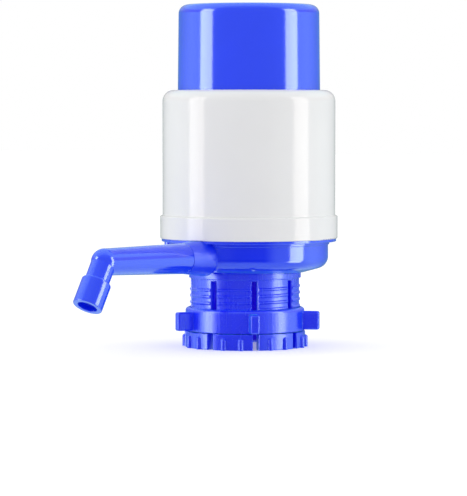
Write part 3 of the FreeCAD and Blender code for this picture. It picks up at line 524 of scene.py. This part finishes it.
class PUMP_OT_studio(PumpOperator):
    """Sets up the floor, the surroundings, the strip lights, the soft lights and the camera"""

    bl_idname = "pump.studio"
    bl_label = "Studio"

    def execute(self, context):
        studio = context.scene.pump_studio
        self.floor()
        self.surroundings(studio)
        for side in (-1, 1):
            self.strip(studio, side)
            self.soft_light(studio, side)
        self.camera(studio)
        context.scene.view_settings.view_transform = "Standard"
        return {"FINISHED"}

    def floor(self):
        """A pale floor under the pump's lowest point, lightened where the camera sees it."""
        half, level = FLOOR_HALF, CAD_BOX[0].z
        corners = [(x * half, y * half, level) for x, y in ((-1, -1), (1, -1), (1, 1), (-1, 1))]
        floor = object_from("floor", corners, [(0, 1, 2, 3)])
        paint = Paint(bpy.data.materials.new("pale_floor"))
        wash = paint.node("ShaderNodeBsdfDiffuse", {}, {"Color": (0.8, 0.8, 0.8, 1)})
        glow = paint.node("ShaderNodeEmission", {}, {"Color": (1, 1, 1, 1), "Strength": FLOOR_GLOW})
        shown = paint.ray("Camera") + paint.ray("Transmission")
        lit = paint.node("ShaderNodeMixShader", {}, {"Fac": shown, 2: glow})
        both = paint.node("ShaderNodeAddShader", {}, {0: wash, 1: lit})
        floor.data.materials.append(paint.finish(both))
        floor.visible_glossy = False

    def surroundings(self, studio):
        """White for the camera, an even light on dull surfaces, and a shaded room in the gloss.

        The room's areas fade in between two values of how far a direction points ahead, to the
        right or up, each from -1 to 1.
        """
        world = bpy.data.worlds.new("pale_room")
        bpy.context.scene.world = world
        paint = Paint(world)
        place = paint.node("ShaderNodeTexCoord", output="Generated")
        along, aside, height = (
            paint.vector("DOT_PRODUCT", place, tuple(way), output="Value")
            for way in (AHEAD, RIGHT, UP))
        mirrored = paint.ray("Glossy")
        shown = paint.ray("Camera") + paint.ray("Transmission")

        in_front = (-1 * along).step(0.22, 0.40)
        behind = along.step(0.10, 0.96) * (1 - height.step(0.10, 0.25) * 0.45)
        below = (-1 * height).step(0.25, 0.70)
        high = height.step(0.07, 0.15) * (1 - height.step(0.28, 0.45))
        side = studio.gloss_side + high * (studio.gloss_high - studio.gloss_side)
        low_right = aside.step(0.35, 0.70)
        front = studio.gloss_low + low_right * (studio.gloss_low_right - studio.gloss_low)
        front = front + height.step(-0.06, 0.02) * (studio.gloss_front - front)
        front = front + height.step(0.55, 0.92) * (studio.gloss_above - front)

        gloss = side + in_front * (front - side)
        gloss = gloss + behind * (studio.gloss_behind - gloss)
        gloss = gloss + below * (studio.gloss_below - gloss)
        level = mirrored * gloss + (1 - mirrored) * studio.ambient
        strength = shown + (1 - shown) * level
        tinted = mirrored * (1 - high * (1 - in_front))
        colour = paint.blend(tinted, (1, 1, 1, 1), (*studio.gloss_colour, 1))
        room = paint.node("ShaderNodeBackground", {}, {"Color": colour, "Strength": strength})
        paint.finish(room)

    def lamp(self, name, width, height, glow, away, distance):
        """An area light of a given radiance that faces the pump's axis."""
        light = bpy.data.lights.new(name, "AREA")
        light.shape = "RECTANGLE"
        light.size, light.size_y = width, height
        light.energy = glow * math.pi * width * height
        holder = bpy.data.objects.new(name, light)
        bpy.context.scene.collection.objects.link(holder)
        middle = UP * LAMP_AIM
        holder.location = away * distance + middle
        holder.rotation_euler = (middle - holder.location).to_track_quat("-Z", "Y").to_euler()
        holder.visible_camera = False
        return holder

    def strip(self, studio, side):
        """A tall strip that only shows as a highlight."""
        angle = studio.strip_angle
        away = -AHEAD * math.cos(angle) + RIGHT * side * math.sin(angle)
        holder = self.lamp(
            "strip_light", studio.strip_width, studio.strip_height, studio.strip_glow, away,
            studio.strip_distance)
        holder.visible_diffuse = False

    def soft_light(self, studio, side):
        """A broad light that models the dull part of the surfaces."""
        away = (RIGHT * side + UP * SOFT_LIGHT_RISE).normalized()
        holder = self.lamp(
            "soft_light", SOFT_LIGHT_SIDE, SOFT_LIGHT_SIDE, studio.soft_glow, away,
            SOFT_LIGHT_DISTANCE)
        holder.visible_glossy = False

    def camera(self, studio):
        """The camera, turned so that the pump's axis and the horizon lie right in the frame."""
        view = bpy.data.cameras.new("camera")
        view.sensor_width = SENSOR_MM
        view.lens = FOCAL_PIXELS / PICTURE_HEIGHT * SENSOR_MM
        holder = bpy.data.objects.new("camera", view)
        bpy.context.scene.collection.objects.link(holder)
        holder.location = -AHEAD * studio.distance + UP * EYE_LEVEL
        aside = (PICTURE_WIDTH / 2 - AXIS_COLUMN) / FOCAL_PIXELS
        down = (PICTURE_HEIGHT / 2 - HORIZON_ROW) / FOCAL_PIXELS
        looking = AHEAD + RIGHT * aside - UP * down
        holder.rotation_euler = looking.to_track_quat("-Z", "Y").to_euler()
        bpy.context.scene.camera = holder


class PUMP_OT_cap(PumpOperator):
    """Finishes the press cap in polished blue plastic"""

    bl_idname = "pump.cap"
    bl_label = "Press cap"

    def execute(self, context):
        dress("press_cap", polished_blue())
        return {"FINISHED"}


class PUMP_OT_housing(PumpOperator):
    """Finishes the housing in polished white plastic"""

    bl_idname = "pump.housing"
    bl_label = "Housing"

    def execute(self, context):
        colours, finish = context.scene.pump_colours, context.scene.pump_finish
        dress("housing", moulded_plastic(
            "polished_white", colours.white, finish.gloss, finish.peel, specular=finish.white_gloss,
            coat=0.0, clouding=0.008, gloss_tint=(1.0, 0.92, 0.86)))
        return {"FINISHED"}


class PUMP_OT_base(PumpOperator):
    """Finishes the base in polished blue plastic, softer on the spout's boss"""

    bl_idname = "pump.base"
    bl_label = "Base"

    def execute(self, context):
        boss = {"start": 40 * MM, "full": 50 * MM, "more": 0.25}
        dress("base_body", polished_blue("polished_blue_base", boss))
        return {"FINISHED"}


class PUMP_OT_spout(PumpOperator):
    """Finishes the spout, its sleeve and its O-rings"""

    bl_idname = "pump.spout"
    bl_label = "Spout"

    def execute(self, context):
        dress("spout_arm", polished_blue())
        dress("nozzle_sleeve", polished_blue())
        dress("spout_seals", silicone())
        return {"FINISHED"}


class PUMP_OT_clamp(PumpOperator):
    """Finishes the collet, the lock ring and the gasket that hold the jug's neck"""

    bl_idname = "pump.clamp"
    bl_label = "Neck clamp"

    def execute(self, context):
        # The collet's inside gets a painted glow, in place of daylight through its wall.
        painted_glow = context.scene.pump_colours.painted_glow
        bore = {"centre": NECK_AXIS, "inside": 27.8 * MM, "outside": 30.5 * MM, "colour": painted_glow}
        turn = math.radians(69.4)
        parting = {"centre": NECK_AXIS, "turn": turn, "width": 0.22 * MM, "height": 0.10 * MM}
        dress("neck_collet", satin_blue("satin_blue", lit=bore))
        dress("lock_ring", satin_blue("satin_blue_ring", seam=parting, streaks=0.10 * MM))
        dress("neck_gasket", silicone())
        return {"FINISHED"}


class PUMP_OT_bellows(PumpOperator):
    """Makes the folded bellows"""

    bl_idname = "pump.bellows"
    bl_label = "Bellows"

    def execute(self, context):
        soft = context.scene.pump_soft_parts
        low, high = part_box("bellows")
        foot, top = low.z + soft.flange, high.z - soft.flange
        steps_a_fold = 12
        steps = soft.folds * steps_a_fold
        middle, swing = (soft.crest + soft.root) / 2, (soft.crest - soft.root) / 2
        fullness = 0.8  # below 1, the folds are fuller than a plain wave's
        waves = soft.folds - 0.5  # from a crest at the foot to a root at the top
        outside, inside = [], []
        for step in range(1, steps):
            share = step / steps
            turn = 2 * math.pi * share * waves
            wave = math.cos(turn)
            radius = middle + swing * math.copysign(abs(wave) ** fullness, wave)
            height = foot + (top - foot) * share
            outside.append((radius, height))
            inside.append((radius - soft.wall, height))
        flange_gap = 0.1 * MM
        flange_edge = high.x - flange_gap
        opening = 12 * MM  # radius of the hole in the upper flange
        outline = [
            (soft.crest - soft.wall, low.z), (flange_edge, low.z), (flange_edge, foot),
            (soft.crest, foot),
            *outside,
            (soft.root, top), (soft.root, high.z), (opening, high.z), (opening, top),
            (soft.root - soft.wall, top),
            *reversed(inside),
            (soft.crest - soft.wall, foot),
        ]
        bag = lathed("bellows_bag", outline, segments=96)
        colours = context.scene.pump_colours
        bag.data.materials.append(soft_rubber("milky_rubber", colours.bellows, 0.42))
        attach(bag, "pump_base")
        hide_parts("bellows")
        travel = press_travel()
        height = high.z - low.z
        (height - travel) / height
        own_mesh(bag)
        return {"FINISHED"}


class PUMP_OT_spring(PumpOperator):
    """Winds the return spring with closed ends"""

    bl_idname = "pump.spring"
    bl_label = "Return spring"

    def execute(self, context):
        soft = context.scene.pump_soft_parts
        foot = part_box("valve_deck")[1].z - SEAT_HEIGHT
        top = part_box("bellows_top_plate")[0].z + SEAT_HEIGHT
        wire, radius = soft.wire_radius, soft.spring_radius
        seat_gap = 0.05 * MM
        low, high = foot + wire + seat_gap, top - wire - seat_gap
        closed = 1.0  # turns at each end, which rise by the wire's thickness
        closed_rise = 2 * wire
        turns = soft.spring_turns + 2 * closed
        open_rise = high - low - 2 * closed * closed_rise
        steps_a_turn = 48
        steps = round(turns * steps_a_turn)
        path = []
        for step in range(steps + 1):
            turn = turns * step / steps
            share = min(max((turn - closed) / soft.spring_turns, 0), 1)
            ends = min(turn, closed) + max(turn - closed - soft.spring_turns, 0)
            height = low + ends * closed_rise + open_rise * share
            angle = 2 * math.pi * turn
            path.append(Vector((radius * math.cos(angle), radius * math.sin(angle), height)))
        coil = tube("return_coil", path, wire, sides=14)
        colours = context.scene.pump_colours
        coil.data.materials.append(worked_steel("drawn_wire", colours.wire, 0.28))
        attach(coil, "pump_base")
        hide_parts("return_spring")
        travel = press_travel()
        height = top - foot
        (height - travel) / height
        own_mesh(coil)
        return {"FINISHED"}


class PUMP_OT_works(PumpOperator):
    """Finishes the deck, clamp ring, top plate, valves, seals and screws inside"""

    bl_idname = "pump.works"
    bl_label = "Inner works"

    def execute(self, context):
        colours, finish = context.scene.pump_colours, context.scene.pump_finish
        plain = moulded_plastic(
            "plain_plastic", colours.inner, 0.38, finish.peel, specular=0.4, coat=0.0)
        plated = worked_steel("plated_steel", colours.screw, 0.3, upright=0.1)
        for node in ("valve_deck", "bellows_clamp_ring", "bellows_top_plate"):
            dress(node, plain)
        for node in ("inlet_valve", "outlet_valve", "deck_seal", "tube_seal"):
            dress(node, silicone())
        for node in ("deck_screws", "plate_screws"):
            dress(node, plated)
        return {"FINISHED"}


class PUMP_PT_panel(bpy.types.Panel):
    """Lists the pump's pieces"""

    bl_idname = "PUMP_PT_panel"
    bl_label = "Jug pump"
    bl_space_type = "VIEW_3D"
    bl_region_type = "UI"
    bl_category = "Jug pump"

    def draw(self, context):
        for group, kind in GROUPS.items():
            box = self.layout.box()
            settings = getattr(context.scene, group)
            for name in kind.__annotations__:
                box.prop(settings, name)
        for operator in OPERATORS:
            self.layout.operator(operator.bl_idname)


GROUPS = {
    "pump_colours": PumpColours,
    "pump_finish": PumpFinish,
    "pump_soft_parts": PumpSoftParts,
    "pump_studio": PumpStudio,
}
OPERATORS = (
    PUMP_OT_studio,
    PUMP_OT_cap,
    PUMP_OT_housing,
    PUMP_OT_base,
    PUMP_OT_spout,
    PUMP_OT_clamp,
    PUMP_OT_bellows,
    PUMP_OT_spring,
    PUMP_OT_works,
)
CLASSES = (*GROUPS.values(), *OPERATORS, PUMP_PT_panel)


def register():
    for item in CLASSES:
        bpy.utils.register_class(item)
    for name, group in GROUPS.items():
        setattr(bpy.types.Scene, name, bpy.props.PointerProperty(type=group))


def unregister():
    for name in GROUPS:
        delattr(bpy.types.Scene, name)
    for item in reversed(CLASSES):
        bpy.utils.unregister_class(item)


def main():
    register()
    bpy.ops.pump.studio()
    bpy.ops.pump.cap()
    bpy.ops.pump.housing()
    bpy.ops.pump.base()
    bpy.ops.pump.spout()
    bpy.ops.pump.clamp()
    bpy.ops.pump.bellows()
    bpy.ops.pump.spring()
    bpy.ops.pump.works()


if __name__ == "__main__":
    main()
